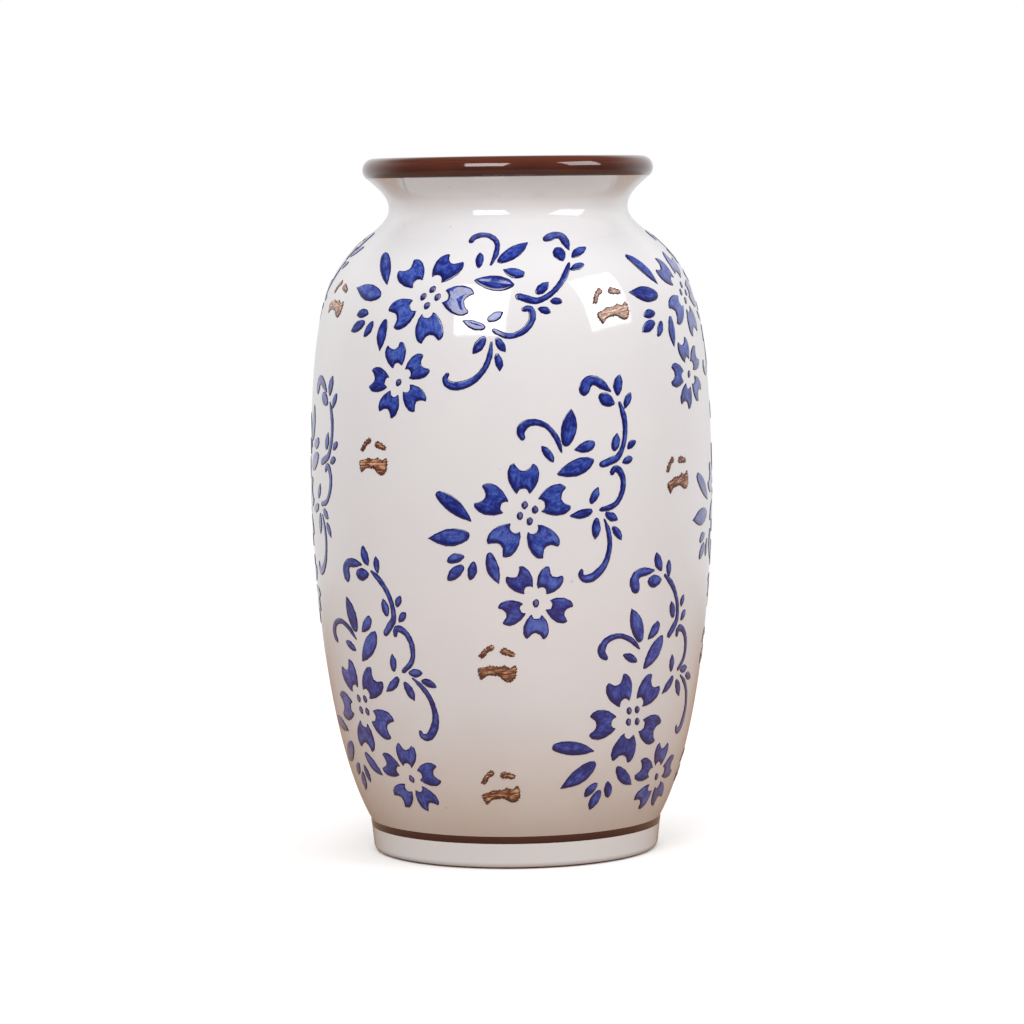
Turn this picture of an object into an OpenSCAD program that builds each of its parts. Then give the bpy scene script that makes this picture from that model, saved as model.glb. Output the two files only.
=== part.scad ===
// Round-bodied pottery vase with a short neck, a rolled lip and a turned foot.
// Frame: +Z is the vase's axis, z = 0 is the standing face, the decoration's front faces -Y.

/* [Body] */
// Height from the standing face to the top of the lip
height = 235; // [215:1:290]
// Widest outer diameter, at the belly
belly_d = 136; // [112:1:170]
// Height of the widest circle
belly_h = 124; // [100:1:150]
// Thickness of the clay wall
wall_t = 4.6; // [3.6:0.1:6]
// Thickness of the clay floor
floor_t = 7; // [5:0.5:9]

/* [Neck and lip] */
// Distance from the top of the lip down to the collar, where the shoulder turns into the neck
neck_h = 27.5; // [24:0.5:32]
// Outer diameter at the collar
collar_d = 99; // [90:1:108]
// Distance from the top of the lip down to the narrowest circle
throat_drop = 17; // [15:0.5:20]
// Outer diameter at the narrowest circle of the neck
throat_d = 80.8; // [72:0.2:86]
// Outer diameter over the lip
lip_d = 98.2; // [94:0.2:110]
// Radius of the round lip, over its glaze
lip_r = 3.8; // [3:0.1:4.2]

/* [Foot] */
// Outer diameter at the top of the foot
foot_d = 99; // [84:1:112]
// Height of the foot, where the body starts
foot_h = 11.1; // [9:0.1:15]
// Width of the foot's clay ring, at the standing face
foot_w = 6.5; // [5:0.5:9]
// Height of the dark painted line at the top of the foot
foot_line_h = 2.5; // [1.5:0.1:3]

/* [Glaze and paint] */
// Thickness of every glaze coat
glaze_t = 0.4; // [0.3:0.05:0.8]
// How far the painted enamel stands out of the glaze
enamel_t = 0.25; // [0.15:0.05:0.5]
// Height of the top row of flower sprigs, at the big flowers
top_row_h = 189.5; // [185:0.5:195]
// Height of the middle row of flower sprigs
middle_row_h = 120; // [112:1:128]
// Height of the bottom row of flower sprigs
bottom_row_h = 52.5; // [50:0.5:60]

/* [Hidden] */
$fn = 96;

clay_colour = [0.72, 0.50, 0.38];
cream_colour = [0.91, 0.89, 0.87];
lip_colour = [0.40, 0.19, 0.11];
line_colour = [0.20, 0.09, 0.07];
blue_colour = [0.17, 0.24, 0.58];
mark_colour = [0.58, 0.38, 0.22];

// Where each sprig was set out by hand: its azimuth in degrees from the front to the right, its
// height above its row's, its turn counter-clockwise seen from outside, and its size
top_sprigs = [[-24.6, 0, -25, 0.98], [69.7, -0.3, -22, 0.95],
    [160, 0.4, -24, 0.97], [238, 0, -24, 0.97]];
middle_sprigs = [[4, -0.2, 0, 0.99], [90.2, 2.2, 0, 0.99],
    [180, -1, 1.5, 1], [269.5, -0.5, 0, 0.99]];
bottom_sprigs = [[-53.9, 1.5, 28.5, 0.99], [39.2, -1.9, 30.5, 0.99],
    [128, 0.5, 29, 1], [216, -0.5, 28, 0.98]];

// Azimuth, height and turn of each brown mark
top_mark_places = [[-67, 186.5, -3], [32, 184, 16], [117, 185, 8], [205, 186, 3]];
middle_mark_places = [[-42, 135, 0], [54, 127.5, 12], [141, 130, 5], [228, 132, -4]];
lower_mark_places = [[-5, 68, 0], [85, 67, 6], [174, 69, 9], [264, 67.5, -2]];
foot_mark_places = [[-5, 26.3, 10], [85, 26, 4], [174, 27, 0], [264, 26.5, 7]];

// ---- Curves -------------------------------------------------------------

function unit(v) = v / norm(v);
function bez(p, t) = pow(1 - t, 3) * p[0] + 3 * pow(1 - t, 2) * t * p[1]
    + 3 * (1 - t) * t * t * p[2] + pow(t, 3) * p[3];
function bez_way(p, t) = unit(pow(1 - t, 2) * (p[1] - p[0])
    + 2 * (1 - t) * t * (p[2] - p[1]) + t * t * (p[3] - p[2]));
// Each row of a line: radius, height, and the outward normal's two parts
function bez_rows(p, n, first) = [
    for (i = [first:n]) let (q = bez(p, i / n), w = bez_way(p, i / n)) [q[0], q[1], w[1], -w[0]]
];
function lean(angle) = [sin(angle), cos(angle)];

// The outside of the body, from the foot up to the lip
foot_r = foot_d / 2;
belly_r = belly_d / 2;
throat_r = throat_d / 2;
lip_centre = [lip_d / 2 - lip_r, height - lip_r];
flare_more = 29.6; // How much more the flare leans at the lip than the line from throat to lip
foot_lean = 28.5; // Lean of the wall at the foot, from upright
collar_lean = -47.5; // Lean of the wall at the collar
low_p = [foot_r, foot_h];
belly_p = [belly_r, belly_h];
collar_p = [collar_d / 2, height - neck_h];
throat_p = [throat_r, height - throat_drop];
to_lip = lip_centre - throat_p;
flare_lean = atan2(to_lip[0], to_lip[1]) + flare_more;
flare_p = lip_centre + lip_r * [cos(flare_lean), -sin(flare_lean)];
low_span = belly_h - foot_h;
high_span = collar_p[1] - belly_h;
low_curve = [low_p, low_p + 0.32 * low_span * lean(foot_lean), belly_p - [0, 0.093 * low_span], belly_p];
high_curve = [belly_p, belly_p + [0, 0.766 * high_span],
    collar_p - 0.186 * high_span * lean(collar_lean), collar_p];
neck_curve = [collar_p, collar_p + 4 * lean(collar_lean), throat_p - [0, 4.5], throat_p];
flare_curve = [throat_p, throat_p + [0, 3.5], flare_p - 7 * lean(flare_lean), flare_p];
skin = concat(
    bez_rows(low_curve, 16, 0), bez_rows(high_curve, 18, 1),
    bez_rows(neck_curve, 7, 1), bez_rows(flare_curve, 7, 1)
);
// The same line moved d outwards
function skin_off(d) = [for (row = skin) [row[0] + d * row[2], row[1] + d * row[3]]];
function back(list) = [for (i = [len(list) - 1:-1:0]) list[i]];
function band(from, to) = concat(skin_off(from), back(skin_off(to)));

// Distance along the body's outside from the foot, for each row of the skin
function run_of(i) = i == 0 ? 0
    : norm([skin[i][0] - skin[i - 1][0], skin[i][1] - skin[i - 1][1]]);
function runs(i = 1, so_far = [0]) = i == len(skin) ? so_far
    : runs(i + 1, concat(so_far, [so_far[i - 1] + run_of(i)]));
run = runs();
function table(column) = [for (i = [0:len(skin) - 1]) [run[i], skin[i][column]]];
radius_at = table(0);
height_at = table(1);
normal_r_at = table(2);
normal_z_at = table(3);
run_at = [for (i = [0:len(skin) - 1]) [skin[i][1], run[i]]];

// ---- Clay ---------------------------------------------------------------

clay_in = -glaze_t - wall_t;
wall_foot_out = skin_off(-glaze_t)[0];
wall_foot_in = skin_off(clay_in)[0];
floor_r = wall_foot_in[0];
floor_top = wall_foot_in[1];
recess_h = floor_top - floor_t;
foot_round = 2.5; // Round at the foot's outer bottom edge
foot_taper = 0.9; // How much the foot narrows from its top to that round
foot_side_r = foot_r - foot_taper - glaze_t;

module clay_wall() {
    color(clay_colour) rotate_extrude() polygon(band(-glaze_t, clay_in));
}

module clay_floor() {
    color(clay_colour) translate([0, 0, recess_h]) cylinder(h = floor_t, r = floor_r);
}

// Points down the foot's outside, d outside its clay, ending on the round edge
function foot_side(d) = concat(
    [[foot_r - glaze_t + d, foot_h]],
    [for (a = [0:15:90]) [foot_side_r - foot_round + (foot_round + d) * cos(a),
        foot_round - (foot_round + d) * sin(a)]]
);

module foot_ring() {
    inner_r = foot_side_r - foot_round - foot_w;
    color(clay_colour) rotate_extrude() polygon(concat(
        [wall_foot_out], foot_side(0),
        [[inner_r, 0], [inner_r, recess_h], [floor_r, recess_h], wall_foot_in]
    ));
}

module lip_roll() {
    color(clay_colour) rotate_extrude() difference() {
        translate(lip_centre) circle(lip_r - glaze_t);
        polygon(band(-glaze_t, clay_in));
    }
}

// ---- Glaze --------------------------------------------------------------

module outer_glaze() {
    color(cream_colour) rotate_extrude() polygon(concat([[foot_r, foot_h]], band(0, -glaze_t),
        [[foot_r - glaze_t, foot_h]]));
}

module inner_glaze() {
    inside = skin_off(clay_in - glaze_t);
    kept = [for (p = inside) if (p[1] > floor_top + 3) p];
    color(cream_colour) rotate_extrude() difference() {
        polygon(concat([[0, floor_top]], skin_off(clay_in), back(kept),
            [[kept[0][0] - 2.4, floor_top + glaze_t + 0.6], [kept[0][0] - 5, floor_top + glaze_t],
            [0, floor_top + glaze_t]]));
        translate(lip_centre) circle(lip_r);
    }
}

module lip_glaze() {
    color(lip_colour) rotate_extrude() difference() {
        translate(lip_centre) circle(lip_r);
        translate(lip_centre) circle(lip_r - glaze_t);
        polygon(band(0, clay_in));
    }
}

// Part of the foot's coat between two heights
module foot_coat(low, high) {
    rotate_extrude() intersection() {
        polygon(concat(foot_side(glaze_t), back(foot_side(0))));
        translate([0, low]) square([foot_d, high - low]);
    }
}

module foot_line() {
    color(line_colour) foot_coat(foot_h - foot_line_h, foot_h);
}

module foot_glaze() {
    color(cream_colour) foot_coat(foot_round / 2, foot_h - foot_line_h);
}

// ---- Painting on the body -----------------------------------------------

// A flat design is turned and scaled, then laid on the body round an anchor at azimuth at and
// run s0. It bends there as on the cone that touches the body at the anchor: far is a point's
// distance from the cone's tip against the anchor's, and swing is its angle round that tip.
// The result is the distance round the body and the distance up along it
function turned(p, turn, size) = size * [p[0] * cos(turn) - p[1] * sin(turn),
    p[0] * sin(turn) + p[1] * cos(turn)];
function laid_on(q, s0) = let (k = lookup(s0, normal_z_at) / lookup(s0, radius_at),
    far = norm([k * q[0], 1 - k * q[1]]), swing = atan2(k * q[0], 1 - k * q[1]) * PI / 180)
    abs(k) < 0.0001 ? q : [swing * far / k, (1 - far) / k];
function azimuth(q, at, s0) = at + q[0] / lookup(s0 + q[1], radius_at) * 180 / PI;
function on_skin(q, at, s0) = let (a = azimuth(q, at, s0), r = lookup(s0 + q[1], radius_at))
    [r * sin(a), -r * cos(a), lookup(s0 + q[1], height_at)];

function middle(list, i = 0, sum = [0, 0]) = i == len(list) ? sum / len(list)
    : middle(list, i + 1, sum + list[i]);

// One painted patch: its outline is laid on the surface, seen square on from outside at its
// middle, and cut through the enamel layer there
module patch(outline, at, s0, turn, size) {
    laid = [for (p = outline) laid_on(turned(p, turn, size), s0)];
    mid = middle(laid);
    a = azimuth(mid, at, s0);
    s = s0 + mid[1];
    tip = atan2(lookup(s, normal_z_at), lookup(s, normal_r_at));
    centre = on_skin(mid, at, s0);
    right = [cos(a), sin(a), 0];
    up = [-sin(a) * sin(tip), cos(a) * sin(tip), cos(tip)];
    flat = [for (q = laid) let (d = on_skin(q, at, s0) - centre) [d * right, d * up]];
    translate(centre) rotate([90 - tip, 0, a]) translate([0, 0, -4])
        linear_extrude(height = 6) polygon(flat);
}

// The layer of enamel round the body between two runs
module enamel_layer(from, to) {
    rows = [for (i = [0:len(skin) - 1]) if (run[i] > from && run[i] < to) skin[i]];
    rotate_extrude() polygon(concat(
        [for (row = rows) [row[0], row[1]]],
        back([for (row = rows) [row[0] + enamel_t * row[2], row[1] + enamel_t * row[3]]])
    ));
}

// A smooth line through points, as [x, y] stations
function smooth_at(p, i, t) = let (a = p[max(i - 1, 0)], b = p[i], c = p[i + 1],
    d = p[min(i + 2, len(p) - 1)])
    0.5 * (2 * b + (c - a) * t + (2 * a - 5 * b + 4 * c - d) * t * t
    + (3 * b - a - 3 * c + d) * t * t * t);
function smooth(p, steps) = concat(
    [for (i = [0:len(p) - 2], k = [0:steps - 1]) smooth_at(p, i, k / steps)], [p[len(p) - 1]]);

// A leaf between two points, w wide: full sets where it is widest, below 0.5 near its start
function leaf(from, to, w, full = 0.5) = let (
    n = 5, way = to - from, side = [-way[1], way[0]] / norm(way), power = ln(0.5) / ln(full),
    half = [for (i = [1:n - 1]) w / 2 * pow(sin(180 * pow(i / n, power)), 0.7)])
    concat([from], [for (i = [1:n - 1]) from + way * i / n + side * half[i - 1]], [to],
        [for (i = [n - 1:-1:1]) from + way * i / n - side * half[i - 1]]);

// A brush stroke along points: its width goes from start_w to end_w and it ends round
function stroke(points, start_w, end_w) = let (
    line = smooth(points, 2), n = len(line) - 1,
    ways = [for (i = [0:n]) unit(line[min(i + 1, n)] - line[max(i - 1, 0)])],
    half = [for (i = [0:n]) (start_w + (end_w - start_w) * pow(i / n, 1.5)) / 2],
    side = [for (w = ways) [-w[1], w[0]]],
    last_angle = atan2(side[n][1], side[n][0]))
    concat([for (i = [0:n]) line[i] + side[i] * half[i]],
        [for (a = [-45:-45:-135]) line[n] + half[n] * [cos(last_angle + a), sin(last_angle + a)]],
        [for (i = [n:-1:0]) line[i] - side[i] * half[i]]);

// An oval dot
function dot(centre, w, h) = [for (a = [0:45:315]) centre + [w / 2 * cos(a), h / 2 * sin(a)]];

// A flower's petal: bulging sides, two tips at its outer end and two at its inner end, with a
// notch between each two. This is one half of its outline, along the petal from the inner notch
petal_half = [[-3.2, 0], [-3.5, 1.1], [-4.8, 2.1], [-3.4, 3.5], [-1.3, 4.6], [1, 5.2],
    [3.1, 5], [4.5, 4.2], [5, 3.1], [4.2, 2.4], [3.1, 1.3], [2.6, 0]];
function petal(centre, angle, size) = let (
    whole = concat(petal_half, [for (i = [len(petal_half) - 2:-1:1])
        [petal_half[i][0], -petal_half[i][1]]]))
    [for (p = whole) centre + size * [p[0] * cos(angle) - p[1] * sin(angle),
        p[0] * sin(angle) + p[1] * cos(angle)]];

big_petals = [[[-0.9, 10.9], 87], [[9.1, 3.6], 14.5], [[4.9, -9.2], -53.5], [[-7, -8.6], -130],
    [[-11.2, 4], 154.5]];
small_heart = [2.9, -30];
small_petals = [[[-5, 7.4], 128], [[4.1, 7.1], 52], [[7.4, -2.2], -24], [[-0.1, -7.7], -94],
    [[-7.8, -2.6], -167]];
leaves = [
    [[-30.2, 6.4], [-18, -2.7], 4.9, 0.44], [[-33.5, -8.9], [-18.9, -6.9], 5.9, 0.57],
    [[-26.7, -16.4], [-20.8, -14.2], 3.3, 0.48], [[-26.6, -22.5], [-20.8, -17.4], 3.9, 0.5],
    [[-18.9, -22.1], [-17.3, -15.9], 3.2, 0.5], [[-9, -23.5], [-12.4, -13], 4.2, 0.52],
    [[5.1, 21.8], [9.1, 16.3], 2.8, 0.5], [[13.4, 21.3], [15.4, 33.7], 5.4, 0.48],
    [[23.4, 22.2], [16.1, 20.1], 3.8, 0.42], [[23, 17.1], [10.3, 12.1], 5.6, 0.45],
    [[25.1, 37.7], [31, 34.5], 4.4, 0.45], [[32.2, 37.2], [33.4, 44.2], 3.7, 0.5],
    [[34.7, 32.8], [37.4, 38.1], 2.8, 0.55], [[30.3, 19], [31.8, 25], 3.3, 0.48],
    [[35.8, 19.4], [39.3, 22], 2.6, 0.5], [[33.5, 14.9], [37.9, 16.4], 2.7, 0.55],
    [[21.7, 2.3], [24.7, 7.7], 3, 0.5], [[22.3, -0.1], [14.2, -1.7], 3.1, 0.44],
    [[23.5, -2.5], [22.9, -9.8], 3.3, 0.5], [[27, -1.1], [31.8, -3.9], 3, 0.5],
    [[29.6, -5.5], [33.1, -10.4], 2.8, 0.48]
];
strokes = [
    [[[11.9, 19.3], [10.2, 24.1], [7, 28.1], [2.8, 29.5], [-0.4, 28.5], [-1.6, 26.3], [-0.7, 23.6]],
        0.8, 2.9],
    [[[29.8, 38.9], [24, 42.3], [21, 41.7], [20, 39.4], [19.7, 37.2]], 1.6, 3.8],
    [[[32.7, 35.3], [34.6, 30.1], [35, 25.2], [34.1, 20.6], [32, 17], [29, 15.7],
        [25.1, 14.5]], 1.3, 2.4],
    [[[24.6, 0.4], [30.4, 1.6], [33.5, 5.7], [34, 10.1], [32.5, 13], [30.8, 13.3],
        [29.4, 11.5]], 1.7, 2.1],
    [[[26.3, -2.8], [28, -7.5], [28.3, -12.7], [26.5, -18], [23, -21.5], [19.8, -22.5],
        [18, -21.2], [18.4, -19.1]], 1, 2.6]
];
sprig_outlines = concat(
    [for (p = big_petals) petal(p[0], p[1], 1)],
    [for (p = [[-0.7, 2.7], [2.6, 1], [-2.5, -0.9], [0.7, -3]]) dot(p, 2.2, 3)],
    [dot(small_heart, 2.2, 2.8)],
    [for (p = small_petals) petal(small_heart + p[0], p[1], 0.82)],
    [for (l = leaves) leaf(l[0], l[1], l[2], l[3])],
    [for (s = strokes) stroke(s[0], s[1], s[2])]
);

// How far a sprig may reach below and above its big flower's middle, however it is turned
sprig_reach_down = 45;
sprig_reach_up = 62;

// A sprig at its place, an azimuth, a height over its row, a turn and a size
module sprig(place, row_h) {
    s0 = lookup(row_h + place[1], run_at);
    size = place[3];
    color(blue_colour) intersection() {
        union() {
            for (outline = sprig_outlines) patch(outline, place[0], s0, place[2], size);
        }
        enamel_layer(s0 - sprig_reach_down * size, s0 + sprig_reach_up * size);
    }
}

module top_sprig(i) {
    sprig(top_sprigs[i], top_row_h);
}

module middle_sprig(i) {
    sprig(middle_sprigs[i], middle_row_h);
}

module bottom_sprig(i) {
    sprig(bottom_sprigs[i], bottom_row_h);
}

// Two short slanting chips over a wide one with a waist and a bigger right end
mark_outlines = [
    [[-5.8, 4.7], [-4.5, 6.6], [-3.2, 7.8], [-1.5, 8.8], [-0.6, 7.9], [-1, 6.9], [-2.5, 6.3],
        [-3.4, 5], [-4.6, 4]],
    [[1.1, 6.5], [1.9, 7.5], [2.9, 7.7], [4.7, 6.8], [6.1, 5.8], [5.4, 4.6], [3.2, 5.1], [1.5, 5.6]],
    [[-6.3, 0.6], [-4.5, 1.2], [-2, 1.9], [1.4, 1.6], [2.4, 2.1], [4.5, 1.2], [5.9, 2], [6.5, 0.9],
        [6.4, -0.8], [6, -2.4], [4.8, -3.6], [3.5, -3.8], [2.2, -3.2], [0.6, -1.8], [-1, -1.6],
        [-3.2, -1.7], [-5.1, -3], [-6.2, -1]]
];

// How far a mark may reach below and above its wide chip's middle, however it is turned
mark_reach_down = 12;
mark_reach_up = 16;

// A row of marks: each place is an azimuth, a height and a turn
module marks(places) {
    color(mark_colour) for (place = places) {
        s0 = lookup(place[1], run_at);
        intersection() {
            union() {
                for (outline = mark_outlines) patch(outline, place[0], s0, place[2], 1);
            }
            enamel_layer(s0 - mark_reach_down, s0 + mark_reach_up);
        }
    }
}

clay_wall();
clay_floor();
foot_ring();
lip_roll();
outer_glaze();
inner_glaze();
lip_glaze();
foot_glaze();
foot_line();
for (i = [0:3]) {
    top_sprig(i);
    middle_sprig(i);
    bottom_sprig(i);
}
marks(top_mark_places);  // top_marks
marks(middle_mark_places);  // middle_marks
marks(lower_mark_places);  // lower_marks
marks(foot_mark_places);  // foot_marks
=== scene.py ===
# %% [markdown]
# # A tin-glazed vase, painted in blue and brown
# The vase is thrown on a wheel, dipped in cream tin glaze, painted by hand and fired again.
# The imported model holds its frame: every clay piece, glaze coat and painted sprig is a node
# there. This lesson loads that frame and models the looks around it: smooth turned glazes,
# raised brush patches with pooled edges, and a quiet white studio.

# %% Load the frame
import math

import bpy
import numpy as np
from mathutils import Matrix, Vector


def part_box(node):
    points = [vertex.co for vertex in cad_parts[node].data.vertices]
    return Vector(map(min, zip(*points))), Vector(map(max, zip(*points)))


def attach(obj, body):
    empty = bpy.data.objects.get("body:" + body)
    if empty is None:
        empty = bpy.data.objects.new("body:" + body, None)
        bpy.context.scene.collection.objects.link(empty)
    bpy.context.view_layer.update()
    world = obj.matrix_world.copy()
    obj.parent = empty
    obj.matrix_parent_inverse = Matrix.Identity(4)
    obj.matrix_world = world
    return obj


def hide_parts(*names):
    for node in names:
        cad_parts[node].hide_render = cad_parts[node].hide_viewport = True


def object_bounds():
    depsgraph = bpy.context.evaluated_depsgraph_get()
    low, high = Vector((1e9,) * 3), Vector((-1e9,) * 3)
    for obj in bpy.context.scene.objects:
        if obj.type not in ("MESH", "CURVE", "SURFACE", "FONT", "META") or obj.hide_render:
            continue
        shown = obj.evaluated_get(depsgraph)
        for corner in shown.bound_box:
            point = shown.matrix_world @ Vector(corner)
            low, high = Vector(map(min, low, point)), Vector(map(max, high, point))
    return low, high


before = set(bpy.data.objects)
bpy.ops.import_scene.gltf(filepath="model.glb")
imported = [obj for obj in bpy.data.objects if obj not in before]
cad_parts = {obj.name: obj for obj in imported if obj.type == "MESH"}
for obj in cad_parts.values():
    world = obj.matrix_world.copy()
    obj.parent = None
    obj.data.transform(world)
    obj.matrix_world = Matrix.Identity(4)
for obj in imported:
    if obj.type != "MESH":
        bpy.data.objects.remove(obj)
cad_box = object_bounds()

print("the frame has", len(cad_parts), "nodes; its box is", cad_box)

# %% [markdown]
# ## The camera
# A long lens from a little over a metre, slightly above the vase's middle, shows the foot and
# the lip as thin ellipses. The camera leans by less than a degree, as a hand-held one does.

# %% Camera
MM = 0.001
camera_place = Vector((0, -1340.9, 221.3)) * MM
camera_aim = Vector((0, 0, 114.7)) * MM
camera_lean = math.radians(0.73)
lens_length = 138.9
sensor_width = 36

bpy.ops.object.camera_add(location=camera_place)
camera = bpy.context.object
look = (camera_aim - camera_place).to_track_quat("-Z", "Y").to_matrix().to_4x4()
camera.rotation_euler = look.to_euler()
camera.rotation_euler.rotate_axis("Z", -camera_lean)
camera.data.lens = lens_length
camera.data.sensor_width = sensor_width
camera.data.dof.use_dof = False
bpy.context.scene.camera = camera
print("camera at", tuple(round(c, 3) for c in camera.location), "lens", camera.data.lens, "mm")

# %% [markdown]
# ## The light
# Two square softboxes stand in front of the vase, one a little to the left and one well to the
# right, both above it. They give the shape its shading, and the glaze shows each of them as a
# bright window on the shoulder, the neck and the lip. White walls and the white paper sweep
# behind the vase fill the shadows and brighten its two sides.

# %% Softboxes
lit_place = Vector((0, 0, 0.17))


def softbox(name, azimuth, elevation, distance, width, height, radiance):
    """An area light that looks at the vase; its power follows from how bright its face is."""
    bpy.ops.object.light_add(type="AREA")
    light = bpy.context.object
    light.name = name
    turn, rise = math.radians(azimuth), math.radians(elevation)
    way = Vector((math.sin(turn) * math.cos(rise), -math.cos(turn) * math.cos(rise), math.sin(rise)))
    light.location = lit_place + way * distance
    light.rotation_euler = way.to_track_quat("Z", "Y").to_euler()
    light.data.shape = "RECTANGLE"
    light.data.size = width
    light.data.size_y = height
    light.data.energy = radiance * math.pi * width * height
    light.visible_camera = False
    print(name, "gives", round(light.data.energy, 1), "W")
    return light


softbox("left_softbox", azimuth=-18, elevation=31, distance=1.25, width=0.66, height=0.62, radiance=5)
softbox("right_softbox", azimuth=64, elevation=31, distance=1.25, width=0.64, height=0.66, radiance=3.7)

# %% [markdown]
# What the glaze mirrors is not even: the room in front of the vase is dark round the lamps,
# while the paper behind it is white. At its sides the vase mirrors that paper, which is why
# their edges look pale and their blue washes out.

# %% The room
world = bpy.data.worlds.new("studio_room")
bpy.context.scene.world = world
world.use_nodes = True
tree = world.node_tree
tree.nodes.clear()


def backdrop(colour, strength):
    """A plain background light."""
    node = tree.nodes.new("ShaderNodeBackground")
    node.inputs["Color"].default_value = colour
    node.inputs["Strength"].default_value = strength
    return node.outputs[0]


def switch(mask, otherwise, when):
    """One background where the mask is 0, and another where it is 1."""
    either = tree.nodes.new("ShaderNodeMixShader")
    tree.links.new(mask, either.inputs["Fac"])
    tree.links.new(otherwise, either.inputs[1])
    tree.links.new(when, either.inputs[2])
    return either.outputs[0]


rays = tree.nodes.new("ShaderNodeLightPath")
way = tree.nodes.new("ShaderNodeTexCoord")
parts = tree.nodes.new("ShaderNodeSeparateXYZ")
tree.links.new(way.outputs["Generated"], parts.inputs["Vector"])


def fade(value, low, high):
    """0 where a direction's part is below low, 1 above high, and smooth between them."""
    node = tree.nodes.new("ShaderNodeMapRange")
    node.interpolation_type = "SMOOTHSTEP"
    node.inputs["From Min"].default_value = low
    node.inputs["From Max"].default_value = high
    tree.links.new(value, node.inputs["Value"])
    return node.outputs[0]


behind = fade(parts.outputs["Y"], -0.1, 0.8)
overhead = fade(parts.outputs["Z"], 0.4, 0.75)
walls = backdrop((0.99, 0.99, 1, 1), 1.14)
sweep = backdrop((1, 0.99, 1, 1), 1.3)
dark_front = backdrop((1, 0.98, 0.98, 1), 0.12)
sweep_in_gloss = backdrop((1, 1, 1, 1), 0.75)
paper = backdrop((1, 1, 1, 1), 1)
out = tree.nodes.new("ShaderNodeOutputWorld")
lit = switch(behind, walls, sweep)
mirrored = switch(overhead, switch(behind, dark_front, sweep_in_gloss), dark_front)
seen = switch(rays.outputs["Is Glossy Ray"], lit, mirrored)
seen = switch(rays.outputs["Is Camera Ray"], seen, paper)
tree.links.new(seen, out.inputs["Surface"])
bpy.context.scene.view_settings.view_transform = "Standard"
print("the walls give", walls.node.inputs["Strength"].default_value)

# %% [markdown]
# ## Small helpers
# Every operator works on what is selected, so each piece starts from a clean selection.

# %% Selection and measuring helpers
def only(*pieces):
    """Selects these objects and nothing else."""
    bpy.ops.object.select_all(action="DESELECT")
    for piece in pieces:
        piece.select_set(True)
    if pieces:
        bpy.context.view_layer.objects.active = pieces[0]


def say(piece):
    """Prints a piece's size and its faces."""
    size = [round(d / MM, 1) for d in piece.dimensions]
    print(piece.name, "measures", size, "mm,", len(piece.data.polygons), "faces")


def smooth_shade(piece, degrees=35):
    """Smooth shading with edges sharper than the angle kept."""
    only(piece)
    bpy.ops.object.shade_smooth_by_angle(angle=math.radians(degrees))


# %% [markdown]
# ## The studio floor
# A pale round floor carries the vase's soft shadow. It fades out towards its rim, so that the
# white room behind has no edge. What it throws back on the vase is warm and weak, as from the
# wooden table that such a vase is set on.

# %% Floor
floor_r = 0.9
floor_solid_r = 0.3
inner_ring = 0.3
only()
bpy.ops.mesh.primitive_circle_add(vertices=96, radius=floor_r, fill_type="NGON")
floor = bpy.context.object
floor.name = "studio_floor"
bpy.ops.object.mode_set(mode="EDIT")
bpy.ops.mesh.inset(thickness=inner_ring)
bpy.ops.mesh.poke()
bpy.ops.object.mode_set(mode="OBJECT")

floor_paint = bpy.data.materials.new("pale_floor")
floor_paint.use_nodes = True
tree = floor_paint.node_tree
tree.nodes.clear()
place = tree.nodes.new("ShaderNodeTexCoord")
far = tree.nodes.new("ShaderNodeVectorMath")
far.operation = "LENGTH"
rim_fade = tree.nodes.new("ShaderNodeMapRange")
rim_fade.interpolation_type = "SMOOTHSTEP"
rim_fade.inputs["From Min"].default_value = floor_solid_r
rim_fade.inputs["From Max"].default_value = floor_r
matt = tree.nodes.new("ShaderNodeBsdfDiffuse")
matt.inputs["Color"].default_value = (0.9, 0.89, 0.88, 1)
warm = tree.nodes.new("ShaderNodeBsdfDiffuse")
warm.inputs["Color"].default_value = (0.3, 0.2, 0.14, 1)
rays = tree.nodes.new("ShaderNodeLightPath")
bounce = tree.nodes.new("ShaderNodeMixShader")
tree.links.new(rays.outputs["Is Camera Ray"], bounce.inputs["Fac"])
tree.links.new(warm.outputs[0], bounce.inputs[1])
tree.links.new(matt.outputs[0], bounce.inputs[2])
clear = tree.nodes.new("ShaderNodeBsdfTransparent")
blend = tree.nodes.new("ShaderNodeMixShader")
out = tree.nodes.new("ShaderNodeOutputMaterial")
tree.links.new(place.outputs["Object"], far.inputs[0])
tree.links.new(far.outputs["Value"], rim_fade.inputs["Value"])
tree.links.new(rim_fade.outputs["Result"], blend.inputs["Fac"])
tree.links.new(bounce.outputs[0], blend.inputs[1])
tree.links.new(clear.outputs[0], blend.inputs[2])
tree.links.new(blend.outputs[0], out.inputs["Surface"])
floor.data.materials.append(floor_paint)

# %% [markdown]
# ## The outline of the body
# A thrown wall is one flowing line. It leaves the foot leaning out, turns upright at the belly,
# closes over the shoulder to the collar and flares out again under the lip. Four Bezier curves
# join without a kink. The sizes that the frame can give are read from it.

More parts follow.
